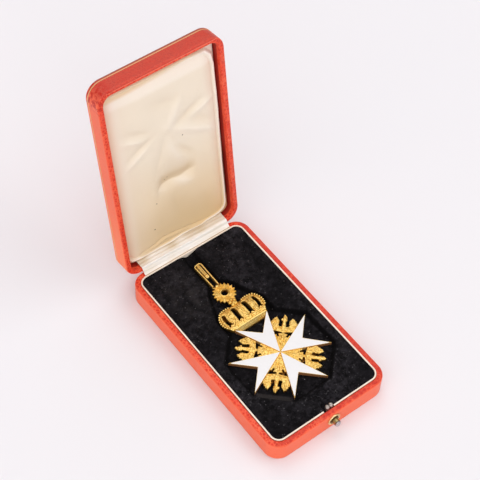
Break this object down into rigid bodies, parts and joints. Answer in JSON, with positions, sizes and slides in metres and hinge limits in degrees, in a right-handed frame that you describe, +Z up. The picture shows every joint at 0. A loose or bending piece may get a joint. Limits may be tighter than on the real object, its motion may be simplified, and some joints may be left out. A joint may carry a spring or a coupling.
{
  "type": "order cross in presentation case",
  "caption": "White enamelled gold order cross with eagles, crown, rayed disc and ribbon loop, lying in the velvet of an open red leather case with a hinged lid.",
  "frame": {"origin": "centre of the flat underside of the case's tray", "axes": "+Z up from the surface the case lies on, +Y from the latch towards the hinge, +X across the case to the right as seen from the latch"},
  "size_m": [0.083, 0.1816, 0.1557],
  "materials": {
    "red_leather": "orange red grained leather, semi gloss",
    "cream_card": "matte cream paper over card",
    "cream_satin": "soft cream satin with light creases",
    "black_velvet": "deep matte velvet with a faint nap",
    "steel": "worn satin steel",
    "aged_brass": "aged, semi gloss",
    "gold": "matte gilt with a fine cast grain and polished edges",
    "white_enamel": "glossy opaque white enamel"
  },
  "bodies": {
    "case": {"tray": "red_leather", "tray_lip": "cream_card", "velvet_pad": "black_velvet", "catch": "steel", "escutcheon": "aged_brass", "push_button": "steel", "hinge_roll": "red_leather", "hinge_strip": "cream_satin", "cross_frame": "gold", "enamel_up": "white_enamel", "enamel_left": "white_enamel", "enamel_down": "white_enamel", "enamel_right": "white_enamel", "crown": "gold", "rayed_disc": "gold", "ribbon_loop": "gold", "loop_tongue": "gold"},
    "lid": {"lid": "red_leather", "lid_lining": "cream_satin"}
  },
  "joints": [
    {"name": "lid_hinge", "type": "hinge", "parent": "case", "child": "lid", "pos_m": [0, 0.0715, 0.01445], "axis": [1, 0, 0], "range_deg": [0, 98.5], "deforming": ["hinge_strip"]}
  ]
}
